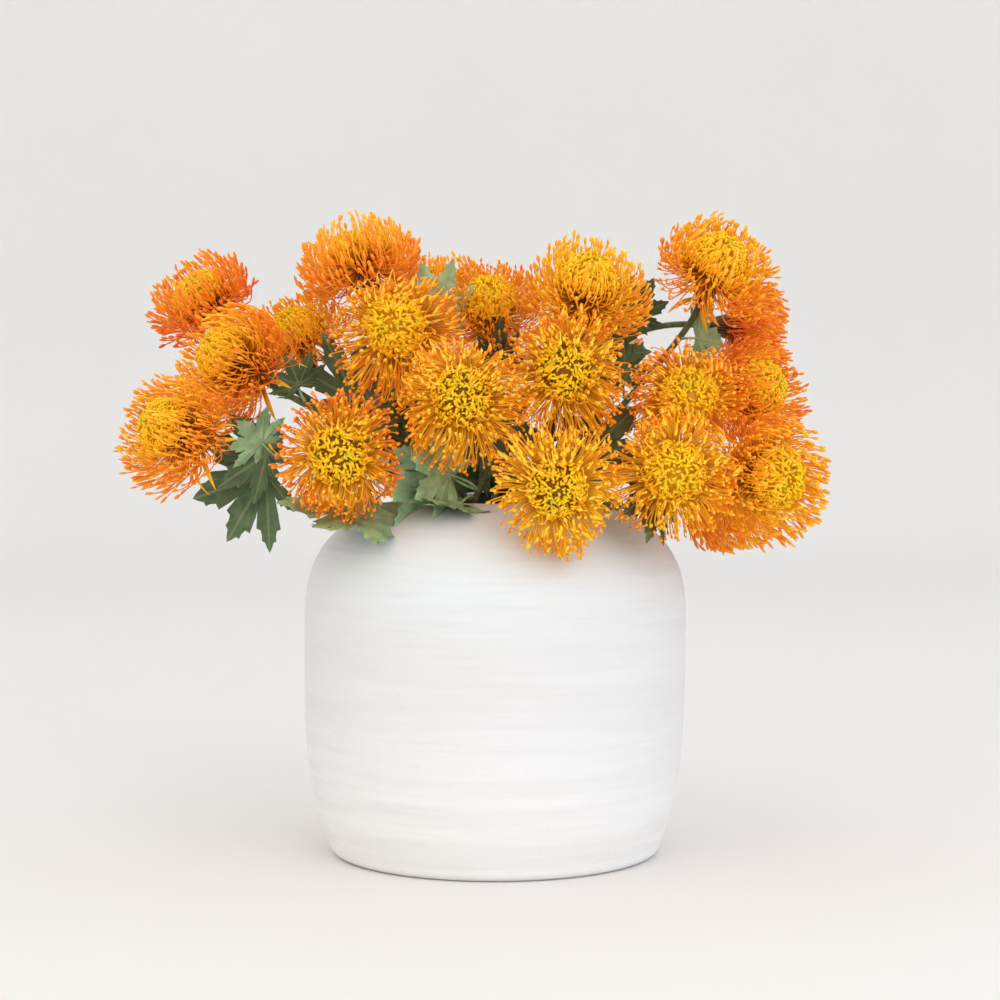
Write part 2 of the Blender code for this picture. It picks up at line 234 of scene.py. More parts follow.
def cubic(corners, t):
    """Points (n, m, 3) of cubic curves: corners (n, 3) weighted by Bernstein's products at t."""
    t = np.asarray(t)[None, :, None]
    first, second, third, last = (corner[:, None, :] for corner in corners)
    return (
        (1 - t) ** 3 * first
        + 3 * t * (1 - t) ** 2 * second
        + 3 * t * t * (1 - t) * third
        + t**3 * last
    )


def around(radius, turn, height):
    """Points at a radius, a turn and a height round the Z axis."""
    return columns(radius * np.cos(turn), radius * np.sin(turn), height)


def tube_points(paths, wide, thin, across, sides):
    """Tubes along paths (n, m, 3) whose first and last points are poles.

    Each ring between is the ellipse centre + thin cos(a) n + wide sin(a) b, where b is the
    across vector made square to the path and n is b turned a quarter round the path.
    """
    centres = paths[:, 1:-1]
    along = unit(paths[:, 2:] - paths[:, :-2])
    b = across[:, None, :] - along * (along * across[:, None, :]).sum(-1, keepdims=True)
    b = unit(b)
    n = np.cross(b, along)
    angle = np.arange(sides) * (tau / sides)
    wide = np.broadcast_to(wide, centres.shape[:2])[:, :, None, None]
    thin = np.broadcast_to(thin, centres.shape[:2])[:, :, None, None]
    cos, sin = np.cos(angle)[None, None, :, None], np.sin(angle)[None, None, :, None]
    rings = centres[:, :, None, :] + thin * cos * n[:, :, None, :] + wide * sin * b[:, :, None, :]
    body = rings.reshape(len(paths), -1, 3)
    return np.concatenate([paths[:, :1], body, paths[:, -1:]], 1).reshape(-1, 3)


def tube_faces(count, rings, sides):
    """Corner rows of such tubes: quads from ring to ring, triangles to both poles."""
    side = np.arange(sides)
    after = (side + 1) % sides
    ring = 1 + np.arange(rings - 1)[:, None] * sides
    quads = columns(ring + side, ring + after, ring + sides + after, ring + sides + side)
    first = columns(0, 1 + after, 1 + side)
    top = 1 + (rings - 1) * sides
    pole = top + sides
    last = columns(pole, top + side, top + after)
    shift = np.arange(count)[:, None, None] * (pole + 1)
    quads = (quads.reshape(-1, 4)[None] + shift).reshape(-1, 4)
    tris = (np.concatenate([first, last])[None] + shift).reshape(-1, 3)
    return quads, tris


def tube_map(tone, width, along, sides):
    """UVs of such tubes: u swings to and fro about the tone (n, m) by a width, v runs along."""
    swing = 1 - np.abs(np.arange(sides) * 2.0 / sides - 1) - 0.5
    body = columns(tone[:, 1:-1, None] + width * swing, along[None, 1:-1, None])
    body = body.reshape(len(tone), -1, 2)
    start, end = columns(tone[:, :1], along[0]), columns(tone[:, -1:], along[-1])
    return np.concatenate([start, body, end], 1).reshape(-1, 2)


def tubes(corners, steps, wide, thin, turn, tone, width, along, sides):
    """Tapered tubes along cubic curves, flat across the turn: points, faces and UVs."""
    paths = cubic(corners, steps)
    across = around(np.ones(len(turn)), turn + pi / 2, 0.0)
    points = tube_points(paths, wide, thin, across, sides)
    return points, tube_faces(len(turn), len(steps) - 2, sides), tube_map(tone, width, along, sides)


def revolved_points(profile, turns, offset=0.0):
    """A profile of (radius, height) rows turned round Z; its first and last rows are poles.

    offset adds to the radius at each ring and turn.
    """
    body = around(profile[1:-1, 0, None] + offset, turns, profile[1:-1, 1, None]).reshape(-1, 3)
    first, last = (np.array([[0.0, 0.0, profile[end, 1]]]) for end in (0, -1))
    return np.concatenate([first, body, last])


def joined(parts):
    """Point rows, corner rows and UV rows of several meshes, made one."""
    points, faces, uvs = zip(*parts)
    starts = np.cumsum([0, *(len(rows) for rows in points[:-1])])
    quads, tris = (
        np.concatenate([rows + start for rows, start in zip(kind, starts)]) for kind in zip(*faces)
    )
    return np.concatenate(points), (quads, tris), np.concatenate(uvs)


def add_piece(name, points, faces, finishes, uvs=None, veins=None, finish_of=None, sharp=None):
    """A mesh object at the origin from point rows and corner rows, riding on the body."""
    mesh = bpy.data.meshes.new(name)
    corners = np.concatenate([rows.ravel() for rows in faces]).astype(np.int32)
    sizes = np.concatenate([np.full(len(rows), rows.shape[1]) for rows in faces])
    mesh.vertices.add(len(points))
    mesh.vertices.foreach_set("co", np.ascontiguousarray(points, np.float32).ravel())
    mesh.loops.add(len(corners))
    mesh.loops.foreach_set("vertex_index", corners)
    mesh.polygons.add(len(sizes))
    mesh.polygons.foreach_set("loop_start", (np.cumsum(sizes) - sizes).astype(np.int32))
    if finish_of is not None:
        mesh.polygons.foreach_set("material_index", finish_of.astype(np.int32))
    mesh.update(calc_edges=True)
    for layer_name, rows in ((BAKE_MAP, uvs), (VEIN_MAP, veins)):
        if rows is not None:
            layer = mesh.uv_layers.new(name=layer_name)
            placed = rows if len(rows) == len(corners) else rows[corners]
            layer.data.foreach_set("uv", np.ascontiguousarray(placed, np.float32).ravel())
    mesh.shade_smooth()
    if sharp is not None:
        mesh.set_sharp_from_angle(angle=sharp)
    for finish in finishes:
        mesh.materials.append(finish)
    piece = bpy.data.objects.new(name, mesh)
    bpy.context.scene.collection.objects.link(piece)
    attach(piece, BODY)
    return piece


def placed(points, flower):
    """Head-sized points put in the head's place: sized, turned to its facing, moved to its base."""
    centre, facing, size = FLOWERS[flower][:3]
    way = Vector(facing).normalized()
    axes = np.array(way.to_track_quat("Z", "Y").to_matrix())
    base = np.array(centre) / 1000 - np.array(way) * HEAD_BASE_DEPTH * size
    return base + size * points @ axes.T


def chance(name, number):
    """A source of draws from a number and a name's letters, each weighed by its place."""
    letters = sum((place + 1) * ord(letter) for place, letter in enumerate(name))
    return np.random.default_rng(letters + number)


# Shader maths.


class Wire:
    """A socket of a finish: numbers and wires combine with + - * / and give Math nodes."""

    def __init__(self, finish, socket):
        self.finish = finish
        self.socket = socket

    def maths(self, operation, *values):
        return self.finish.node("Math", {"operation": operation}, dict(enumerate(values)))

    def __abs__(self):
        return self.maths("ABSOLUTE", self)

    def wave(self):
        return self.maths("SINE", self)

    def least(self, other):
        return self.maths("MINIMUM", self, other)

    def step(self, low, high):
        """0 below low, 1 above high, a smooth rise between."""
        return self.finish.node(
            "MapRange",
            {"interpolation_type": "SMOOTHSTEP"},
            {"Value": self, "From Min": low, "From Max": high},
        )


def arithmetic(operation):
    """The plain and the reflected form of an operation on wires."""
    return (
        lambda wire, other: wire.maths(operation, wire, other),
        lambda wire, other: wire.maths(operation, other, wire),
    )


Wire.__add__, Wire.__radd__ = arithmetic("ADD")
Wire.__sub__, Wire.__rsub__ = arithmetic("SUBTRACT")
Wire.__mul__, Wire.__rmul__ = arithmetic("MULTIPLY")
Wire.__truediv__, Wire.__rtruediv__ = arithmetic("DIVIDE")


class Finish:
    """A material being wired."""

    def __init__(self, name):
        self.material = bpy.data.materials.new(name)
        self.material.use_nodes = True
        self.tree = self.material.node_tree
        self.tree.nodes.clear()

    def node(self, kind, settings=None, values=None, out=0):
        """One node: its settings first, a ramp's stops among them, then its sockets."""
        made = self.tree.nodes.new("ShaderNode" + kind)
        settings = dict(settings or {})
        stops = settings.pop("stops", None)
        for key, value in settings.items():
            setattr(made, key, value)
        if stops:
            ramp = made.color_ramp
            while len(ramp.elements) < len(stops):
                ramp.elements.new(0.5)
            for element, (place, colour) in zip(ramp.elements, stops):
                element.position = place
                element.color = (*colour, 1.0)
        for key, value in (values or {}).items():
            if isinstance(value, Wire):
                self.tree.links.new(value.socket, made.inputs[key])
            else:
                made.inputs[key].default_value = value
        return Wire(self, made.outputs[out])

    def object_place(self):
        return self.node("TexCoord", out="Object")

    def part_of(self, place, axis):
        """One of a place's three numbers."""
        return self.node("SeparateXYZ", None, {0: place}, out=axis)

    def map_place(self, layer):
        """The two numbers of a UV map, as wires."""
        place = self.node("UVMap", {"uv_map": layer})
        return self.part_of(place, 0), self.part_of(place, 1)

    def noise(self, place, scale, detail=3.0, stretch=(1.0, 1.0, 1.0), roughness=0.55):
        spread = self.node("Mapping", None, {"Vector": place, "Scale": stretch})
        values = {"Vector": spread, "Scale": scale, "Detail": detail, "Roughness": roughness}
        return self.node("TexNoise", None, values)

    def ramp(self, value, stops):
        return self.node("ValToRGB", {"stops": stops}, {"Fac": value})

    def mix(self, share, first, second, way="MIX"):
        """Colours mixed; a plain colour is three numbers."""
        first, second = (c if isinstance(c, Wire) else (*c, 1.0) for c in (first, second))
        return self.node(
            "Mix", {"data_type": "RGBA", "blend_type": way}, {0: share, 6: first, 7: second}, out=2
        )

    def bump(self, height, distance, strength=1.0):
        values = {"Height": height, "Distance": distance, "Strength": strength}
        return self.node("Bump", None, values)

    def close(self, colour, rough, gloss, relief=None, painted_glow=0.0):
        """The shader and the output, then the material itself."""
        values = {"Base Color": colour, "Roughness": rough, "Specular IOR Level": gloss}
        if relief:
            values["Normal"] = relief
        # Emission of the base colour: a painted glow, from no lamp.
        if painted_glow:
            values.update({"Emission Color": colour, "Emission Strength": painted_glow})
        shader = self.node("BsdfPrincipled", None, values)
        out = self.tree.nodes.new("ShaderNodeOutputMaterial")
        self.tree.links.new(shader.socket, out.inputs["Surface"])
        return self.material


# Settings.


def count_prop(name, description, default, low, high):
    return IntProperty(name=name, description=description, default=default, min=low, max=high)


def number_prop(name, description, default, low=0.0, **more):
    return FloatProperty(name=name, description=description, default=default, min=low, **more)


def length_prop(name, description, default):
    return number_prop(name, description, default, unit="LENGTH", precision=4)


def colour_prop(name, description, default):
    limits = {"size": 3, "min": 0.0, "max": 1.0}
    return FloatVectorProperty(
        name=name, description=description, default=default, subtype="COLOR", **limits
    )


class FlowerSettings(bpy.types.PropertyGroup):
    """Sizes and colours of the heads."""

    style_count: count_prop("Styles", "Styles on each head", 400, 50, 600)
    floret_count: count_prop("Florets", "Short florets of each heart", 340, 30, 400)
    bract_count: count_prop("Bracts", "Pointed bracts under each head", 6, 0, 16)
    style_radius: length_prop("Style radius", "Half the thickness of a style", 0.00056)
    knob_radius: length_prop("Knob radius", "Half the thickness of a style's end", 0.00112)
    globe_radius: length_prop("Globe radius", "From the head's axis to its widest tips", 0.045)
    globe_height: length_prop("Globe height", "From the head's middle to its highest tips", 0.037)
    globe_middle: length_prop("Globe middle", "From the head's base to its middle", 0.034)
    heart_radius: length_prop("Heart radius", "Half the width of the dome of florets", 0.0176)
    # Painted glow: emission of the styles' and florets' own colour, standing in for light passing
    # through them.
    painted_glow: number_prop("Glow", "Light that the thin styles pass on", 0.125, max=1.0)
    golden: colour_prop("Golden", "Colour of the lightest styles", (1.0, 0.62, 0.03))
    amber: colour_prop("Amber", "Colour of most styles", (0.97, 0.44, 0.018))
    orange: colour_prop("Orange", "Colour of the outer styles", (0.93, 0.28, 0.016))
    rust: colour_prop("Rust", "Colour of the reddest styles", (0.82, 0.15, 0.022))
    heart_yellow: colour_prop("Heart yellow", "Colour of the florets", (1.0, 0.66, 0.013))
    heart_green: colour_prop("Heart green", "Colour of the middle florets", (0.66, 0.58, 0.02))


class FoliageSettings(bpy.types.PropertyGroup):
    """Sizes and colours of the leaves and stems."""

    blade: length_prop("Blade", "Thickness of a leaf at its middle", 0.0009)
    leaf_top: colour_prop("Leaf top", "Colour of a leaf's upper side", (0.098, 0.165, 0.076))
    leaf_under: colour_prop("Leaf underside", "Colour of a leaf's under side", (0.34, 0.55, 0.3))
    vein: colour_prop("Vein", "Colour of the veins on top", (0.29, 0.35, 0.16))
    bark: colour_prop("Bark", "Colour of the stems", (0.13, 0.15, 0.07))


class VaseSettings(bpy.types.PropertyGroup):
    """Sizes and colours of the vase."""

    turns: count_prop("Turns", "Points round the vase", 176, 24, 400)
    rings: count_prop("Rings", "Rings up its outer wall", 84, 16, 200)
    wander: length_prop("Wander", "How far the hand-thrown wall strays", 0.0006)
    groove: length_prop("Groove", "Depth of the throwing lines", 0.00012)
    whitewash: colour_prop("Whitewash", "Colour of the limewash", (0.825, 0.84, 0.875))
    # Lighter colour towards the bottom of the vase.
    lower_wash: colour_prop("Fresh wash", "Colour of the thicker wash low down", (0.94, 0.95, 0.97))
    # Painted shade at the shoulder under the flowers, cool against the orange light they bounce onto
    # it.
    shoulder_shade: colour_prop("Shoulder", "Colour of the wash at the shoulder", (0.76, 0.85, 0.9))
    worn: colour_prop("Worn", "Colour where the limewash is thin", (0.7, 0.69, 0.66))


class StageSettings(bpy.types.PropertyGroup):
    """The floor, the light and the camera."""

    floor_colour: colour_prop("Floor", "Colour of the floor and wall", (0.868, 0.86, 0.848))
    wall_radius: length_prop("Wall radius", "From the vase to the wall", 3.1)
    wall_height: length_prop("Wall height", "Height of the wall", 3.2)
    sky: number_prop("Sky", "Strength of the light from above", 1.13)
    key_power: number_prop("Key light", "Power of the large light", 17.5, unit="POWER")
    fill_power: number_prop("Fill light", "Power of the front light", 8.5, unit="POWER")
    camera_distance: length_prop("Camera distance", "From the vase's axis", 2.04)
    camera_height: length_prop("Camera height", "Above the floor", 0.4)
    lens: number_prop("Lens", "Focal length", 94.14, 20.0, unit="CAMERA")


# Finishes.


def shaded(colour, times):
    """A colour times a number, held to one."""
    return tuple(min(1.0, part * times) for part in colour)


def style_finish(s):
    """Golden to rust by the map's u; by its v, painted shade browns the root and the colour is full
    from the middle to the knob, with a painted glow.
    """
    f = Finish("flower_styles")
    tone, along = f.map_place(BAKE_MAP)
    stops = ((0.0, s.golden), (0.32, s.amber), (0.66, s.orange), (1.0, s.rust))
    colour = f.ramp(tone, stops)
    # Painted shade deep among the styles: brown at the root, fading to none by the middle.
    root = ((0.0, (0.24, 0.12, 0.05)), (0.22, (0.66, 0.5, 0.32)), (0.42, (1.0, 1.0, 1.0)))
    colour = f.mix(1.0, colour, f.ramp(along, root), "MULTIPLY")
    return f.close(colour, 0.5, 0.35, painted_glow=s.painted_glow)


def heart_finish(s):
    """Green to golden yellow by the map's u; by its v, painted shade between the florets and on the
    dome, with a painted glow.
    """
    f = Finish("flower_heart")
    tone, along = f.map_place(BAKE_MAP)
    colour = f.ramp(tone, [(0.0, s.heart_green), (0.3, s.heart_yellow), (1.0, s.amber)])
    # Painted shade: dark deep down between the florets and on the dome, none at their ends.
    painted_shade_depth = ((0.0, (0.2, 0.12, 0.04)), (0.34, (0.62, 0.5, 0.26)), (0.6, (1.0, 1.0, 1.0)))
    colour = f.mix(1.0, colour, f.ramp(along, painted_shade_depth), "MULTIPLY")
    return f.close(colour, 0.5, 0.3, painted_glow=s.painted_glow)


def cup_finish(s):
    """Striped brown cup on the map's left half, orange-yellow bracts on its right half."""
    f = Finish("flower_cup")
    across, along = f.map_place(BAKE_MAP)
    stripes = (across * 180.0).wave() * 0.5 + 0.5
    brown = f.mix(stripes, (0.075, 0.035, 0.018), (0.24, 0.13, 0.055))
    bract = f.ramp(along, [(0.0, (0.3, 0.24, 0.05)), (0.45, s.amber), (1.0, s.golden)])
    colour = f.mix(across.step(0.495, 0.505), brown, bract)
    return f.close(colour, 0.65, 0.3)


def leaf_finish(name, ground, vein, contrast):
    """A blade with lighter veins: one along each lobe, slanting ones beside it, mottled between."""
    f = Finish(name)
    along, across = f.map_place(VEIN_MAP)
    off = abs(across)
    main = 1.0 - (off / (1.15 - along * 0.8)).step(0.012, 0.04)
    slant = ((along * 34.0) - (off * 60.0)).wave().step(0.9, 1.0) * off.step(0.01, 0.05)
    veins = main + slant * 0.35
    mottle = f.noise(f.object_place(), 90.0, 4.0)
    stops = [(0.3, shaded(ground, 0.62)), (0.5, ground), (0.72, shaded(ground, 1.35))]
    colour = f.ramp(mottle, stops)
    colour = f.mix((veins * contrast).least(1.0), colour, vein)
    relief = f.bump(veins * 0.8 + mottle * 0.5, 0.0004, 0.7)
    return f.close(colour, 0.52 + mottle * 0.2, 0.35, relief)


def bark_finish(s):
    """Brownish green streaks along the stem."""
    f = Finish("stem_bark")
    place = f.object_place()
    streak = f.noise(place, 160.0, 3.0, (1.0, 1.0, 0.12))
    patch = f.noise(place, 22.0, 2.0)
    colour = f.ramp(streak, [(0.3, shaded(s.bark, 0.6)), (0.7, shaded(s.bark, 1.5))])
    colour = f.mix(patch.step(0.52, 0.68) * 0.6, colour, (0.17, 0.1, 0.055))
    return f.close(colour, 0.6 + streak * 0.15, 0.5, f.bump(streak, 0.0003, 0.6))


def vase_finish(s):
    """Limewash brushed round the vase: level bands, thin worn patches, lighter low down, and greyer
    at the shoulder with painted shade of the flowers.
    """
    f = Finish("vase_clay")
    place = f.object_place()
    height = f.part_of(place, 2)
    bands = f.noise(place, 8.0, 4.0, (0.45, 0.45, 7.0), 0.55)
    streaks = f.noise(place, 26.0, 4.0, (0.35, 0.35, 7.0), 0.65)
    pits = f.noise(place, 420.0, 2.0)
    # The shoulder: the worn streaks grow stronger here, and the painted shade lies here.
    top = height.step(0.15, 0.235)
    # Lighter towards the bottom.
    colour = f.mix(1.0 - height.step(0.0, 0.16), s.whitewash, s.lower_wash)
    colour = f.mix((1.0 - bands).step(0.38, 0.62) * 0.22, colour, s.worn)
    colour = f.mix(streaks.step(0.5, 0.74) * (0.12 + top * 0.45), colour, s.worn)
    # Painted shade of the flowers over the shoulder, tinted cool to cancel their orange bounced
    # light.
    colour = f.mix(top * 0.55, colour, s.shoulder_shade)
    colour = f.mix(pits.step(0.68, 0.74) * 0.25, colour, (0.58, 0.56, 0.51))
    relief = f.bump(bands * 0.5 + streaks * 0.6 + pits * 0.12, 0.0009, 0.45)
    return f.close(colour, 0.62 + streaks * 0.25, 0.3, relief)


def stage_finish(s):
    """Matte pale floor with the faintest clouding."""
    f = Finish("stage_paint")
    cloud = f.noise(f.object_place(), 1.6, 2.0)
    colour = f.ramp(cloud, [(0.3, shaded(s.floor_colour, 0.985)), (0.7, s.floor_colour)])
    return f.close(colour, 0.85, 0.2)


# Pieces.


def vase_profile(rings):
    """Rows of (radius, height) from under the foot, up the wall, over the lip and down inside.

    Foot: a quarter round. Belly: the radius falls from its widest with the height left to the
    power 3.9. Shoulder: a superellipse of power 2.6 up to the mouth. Inside: the wall drawn in.
    """
    quarter = np.linspace(0, pi / 2, 7)
    flat = np.array([(0.0, 0.0), (0.04, 0.0), (0.08, 0.0), (0.11, 0.0)])
    foot = columns(
        VASE_FOOT_RADIUS + VASE_FOOT_ROUND * np.sin(quarter),
        VASE_FOOT_ROUND * (1 - np.cos(quarter)),
    )
    rise = np.linspace(0, 1, rings // 2)[1:]
    widening = VASE_RADIUS - VASE_FOOT_RADIUS - VASE_FOOT_ROUND
    belly = columns(
        VASE_RADIUS - widening * (1 - rise) ** VASE_BELLY_POWER,
        VASE_FOOT_ROUND + (VASE_BELLY_Z - VASE_FOOT_ROUND) * rise,
    )
    height = VASE_CROWN_Z - VASE_BELLY_Z
    last = math.acos((VASE_MOUTH_RADIUS / VASE_RADIUS) ** (VASE_SHOULDER_POWER / 2))
    sweep = np.linspace(0, last, rings // 2)[1:]
    power = 2 / VASE_SHOULDER_POWER
    shoulder = columns(
        VASE_RADIUS * np.cos(sweep) ** power, VASE_BELLY_Z + height * np.sin(sweep) ** power
    )
    outer = np.concatenate([foot, belly, shoulder])
    way = unit(np.gradient(outer, axis=0))
    inner = outer - columns(way[:, 1], -way[:, 0]) * VASE_WALL
    inner = inner[inner[:, 1] > VASE_FLOOR + 0.001][::-1]
    top, below = outer[-1], inner[0]
    middle, half = (top + below) / 2, (top - below) / 2
    turn = np.linspace(0, pi, 7)[1:-1]
    ahead = np.array([half[1], -half[0]])
    if ahead @ way[-1] < 0:
        ahead = -ahead
    lip = middle + half * np.cos(turn)[:, None] + ahead * np.sin(turn)[:, None]
    floor = np.array([(inner[-1, 0] - 0.004, VASE_FLOOR), (0.06, VASE_FLOOR), (0.0, VASE_FLOOR)])
    return np.concatenate([flat, outer, lip, inner[::2], floor]), len(flat) + len(outer)


def make_vase(s):
    """The revolved profile, its outer wall straying by slow waves and fine level grooves."""
    profile, outside = vase_profile(s.rings)
    turns = np.arange(s.turns) * (tau / s.turns)
    height = profile[1:-1, 1][:, None]
    wall = np.clip(height / 0.05, 0, 1) * np.clip((0.275 - height) / 0.02, 0, 1)
    wander = np.sin(2 * turns + 8 * height + 0.6) + 0.6 * np.sin(3 * turns - 21 * height)
    groove = np.sin(height * 950 + 0.8 * np.sin(turns)) + 0.7 * np.sin(height * 420 + 1.7)
    offset = wall * (s.wander * wander + s.groove * groove)
    offset[outside - 1 :] = 0.0
    points = revolved_points(profile, turns, offset)
    faces = tube_faces(1, len(profile) - 2, s.turns)
    vase = add_piece("vase_body", points, faces, [vase_finish(s)], sharp=radians(50))
    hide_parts("vase")


def stem_corners(flower):
    """The foot, the mouth point, the bend's two handles, the neck and the end of a stem."""
    centre, facing, size, place, mouth_bend, head_bend = FLOWERS[flower][:6]
    angle = tau * place / len(FLOWERS) + STEM_RING_TURN
    mouth = Vector(around(STEM_MOUTH_RING, angle, STEM_MOUTH_Z))
    foot = Vector(around(STEM_FOOT_RING, angle - STEM_TWIST, 0.0))
    lean = mouth - foot
    slope = math.hypot(lean.x, lean.y) / lean.length
    foot.z = VASE_FLOOR + STEM_RADIUS * slope + GAP
    lean = (mouth - foot).normalized()
    way = Vector(facing).normalized()
    end = Vector(np.array(centre) / 1000) - way * (HEAD_BASE_DEPTH * size + GAP)
    neck = end - way * STEM_NECK
    span = (neck - mouth).length
    first = mouth + lean * span * mouth_bend
    last = neck - way * span * head_bend
    return [np.array(p) for p in (foot, mouth, first, last, neck, end)]


def stem_line(flower):
    """A stem's line: straight across the hollow, the cubic bend, the straight neck."""
    foot, mouth, first, last, neck, end = stem_corners(flower)
    straight = foot + (mouth - foot) * np.linspace(0, 1, 16)[:-1, None]
    corners = [p[None] for p in (mouth, first, last, neck)]
    bend = cubic(corners, np.linspace(0, 1, 34))[0]
    return np.concatenate([straight, bend, (neck + end)[None] / 2, end[None]])


def make_stems(s):
    """Round stems with low swellings, widening a little under the head."""
    bark = bark_finish(s)
    for flower in FLOWERS:
        rng = chance(flower, 0)
        line = stem_line(flower)
        line = np.concatenate([line[:1] - 1e-5, line, line[-1:] + 1e-5])
        share = np.linspace(0, 1, len(line) - 2)
        swell = sum(np.exp(-(((share - knot) / 0.012) ** 2)) for knot in rng.uniform(0.3, 0.95, 4))
        radius = STEM_RADIUS * (0.93 + 0.12 * swell + 0.15 * np.clip((share - 0.93) / 0.07, 0, 1))
        side = np.cross(line[-1] - line[0], (0.0, 0.0, 1.0))[None]
        points = tube_points(line[None], radius, radius, unit(side), STEM_SIDES)
        stem = add_piece("stalk_" + flower, points, tube_faces(1, len(share), STEM_SIDES), [bark])
        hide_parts("stem_" + flower)


def on_globe(s, polar, turn, reach):
    """Points of the flattened globe of tips: radius by the sine, height by the cosine."""
    radius = s.globe_radius * reach * np.sin(polar)
    return around(radius, turn, s.globe_middle + s.globe_height * reach * np.cos(polar))


def leaning(angle, turn, length):
    """Steps of a length, leaning outwards from the head's axis by an angle."""
    return around(length * np.sin(angle), turn, length * np.cos(angle))


def make_styles(s):
    """Combed styles: each leaves the cup sideways and sweeps forward to a tip on the globe.

    The lean of its end, its swirl and its reach are slow waves round the head, so that
    neighbours run together, with a little chance added. Long styles droop by the square
    of the way along them.
    """
    finish = style_finish(s)
    steps = np.array(STYLE_STEPS)
    knob = s.knob_radius / s.style_radius
    radii = s.style_radius * np.array([*STYLE_TAPER, knob, knob * STYLE_TAPER[-1]])
    for flower, (*_, tone, redness, opening, droop, hook) in FLOWERS.items():
        rng = chance(flower, 1)
        count = s.style_count
        share = (np.arange(count) + 0.5) / count
        inner, outer = radians(opening), radians(LAST_STYLES.get(flower, LAST_STYLE))
        level = math.cos(inner) + (math.cos(outer) - math.cos(inner)) * share
        polar = np.arccos(level) + rng.normal(0, radians(4), count)
        turn = np.arange(count) * GOLDEN_TURN + rng.normal(0, 0.05, count)
        phase = rng.uniform(0, tau, 6)
        swirl = 0.11 * np.sin(2 * turn + phase[0]) + 0.08 * np.sin(3 * turn + 2 * polar + phase[1])
        swirl = swirl + rng.normal(0, 0.06, count)
        bow = 0.22 * np.sin(3 * turn + 2 * polar + phase[5]) + rng.normal(0, 0.32, count)
        lean = 0.2 * np.sin(2 * turn + phase[2]) + 0.14 * np.sin(4 * turn + 3 * polar + phase[3])
        lean = 0.78 * polar - 0.5 + lean + rng.normal(0, 0.16, count)
        lean = lean - hook * rng.uniform(0.1, 1.7, count) * np.sin(polar)
        reach = 1 + 0.05 * np.sin(3 * turn + phase[4])
        reach = reach + np.clip(rng.normal(0, 0.075, count), -0.2, 0.13)
        low = 0.026 if outer > radians(105) else 0.01
        root = around(STYLE_ROOT_RADIUS - 0.23 * low * share, turn, STYLE_ROOT_Z - low * share)
        first = root + leaning(polar * 0.75 + 0.61, turn - 0.5 * bow, STYLE_LENGTH * reach)
        tip = on_globe(s, polar, turn + swirl, reach)
        second = tip - leaning(lean, turn + swirl + bow, STYLE_END * reach)
        thick = radii * rng.uniform(0.85, 1.12, (count, 1))
        thick[:, -2:] *= rng.uniform(0.85, 1.35, (count, 1))
        hue = tone - 0.42 + 0.6 * np.sqrt(share) + rng.normal(0, 0.1, count)
        hue = hue[:, None] + (0.1 + redness) * (steps[None, :] - 0.4)
        corners = [root, first, second, tip]
        hue = np.clip(hue, 0.03, 0.97)
        points, faces, uvs = tubes(corners, steps, thick, thick, turn, hue, 0.04, steps, THIN_SIDES)
        points = placed(points, flower)
        fall = np.concatenate([steps[:1], np.repeat(steps[1:-1], THIN_SIDES), steps[-1:]]) ** 2
        points[:, 2] -= (droop / 1000 * (0.5 + share)[:, None] * fall).ravel()
        styles = add_piece("styles_" + flower, points, faces, [finish], uvs)
        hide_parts("head_" + flower)


def make_hearts(s):
    """A dome in painted shade, set with short florets whose round ends lean to the middle."""
    finish = heart_finish(s)
    steps = np.array(FLORET_STEPS)
    bow = np.linspace(0, pi * 0.55, 10)
    profile = columns(s.heart_radius * np.sin(bow), DOME_MIDDLE + DOME_RISE * np.cos(bow))[::-1]
    profile = np.concatenate([[(0.0, DOME_MIDDLE - 0.006)], profile])
    rows = len(profile)
    dome = revolved_points(profile, np.arange(DOME_SIDES) * (tau / DOME_SIDES))
    dome_faces = tube_faces(1, rows - 2, DOME_SIDES)
    # The dome's v sits at the dark start of the painted shade.
    dome_map = tube_map(np.full((1, rows), 0.6), 0.2, np.linspace(0, 0.06, rows), DOME_SIDES)
    for flower in FLOWERS:
        rng = chance(flower, 2)
        count = s.floret_count
        # light lifts the painted shade on the florets and the dome; the listed heads get no lift.
        light = 0.0 if flower in DEEP_SHADE_HEARTS else 0.3
        share = (np.arange(count) + 3.5) / (count + 3)
        polar = np.arccos(1 - share * (1 - math.cos(radians(94)))) + rng.normal(0, 0.05, count)
        turn = np.arange(count) * GOLDEN_TURN + rng.normal(0, 0.08, count)

        def above(polar, turn, height):
            """Points over the dome's skin, by the height along its normal."""
            radius = (s.heart_radius + height) * np.sin(polar)
            return around(radius, turn, DOME_MIDDLE + (DOME_RISE + height) * np.cos(polar))

        arch = rng.uniform(0.0028, 0.0078, count)
        curl = rng.uniform(-0.12, 0.4, count) * np.clip(polar / 0.8, 0.3, 1)
        side = rng.normal(0, 0.34, count) / (0.3 + polar)
        root = above(polar, turn, -0.001)
        first = above(polar + 0.1, turn, arch)
        second = above(polar - 0.7 * curl, turn + 0.5 * side, arch * 1.15)
        tip = above(polar - curl, turn + side, arch * 0.55)
        patch = around(np.sin(polar), turn, 0.0)
        patch = np.linalg.norm(patch - around(0.35, rng.uniform(0, tau), 0.0), axis=-1)
        hue = np.clip(patch * 1.4, 0.0, 0.4) + 0.8 * np.clip(share - 0.4, 0, 1)
        hue = (hue + rng.normal(0, 0.13, count))[:, None] + 0.25 * (0.5 - steps[None])
        hue, shade = np.clip(hue, 0.03, 0.97), steps * (0.93 - light) + light + 0.07
        corners = [root, first, second, tip]
        florets = tubes(
            corners, steps, FLORET_RADII, FLORET_RADII, turn, hue, 0.04, shade, THIN_SIDES
        )
        points, faces, uvs = joined([florets, (dome, dome_faces, dome_map + (0.0, light))])
        heart = add_piece("heart_" + flower, placed(points, flower), faces, [finish], uvs)


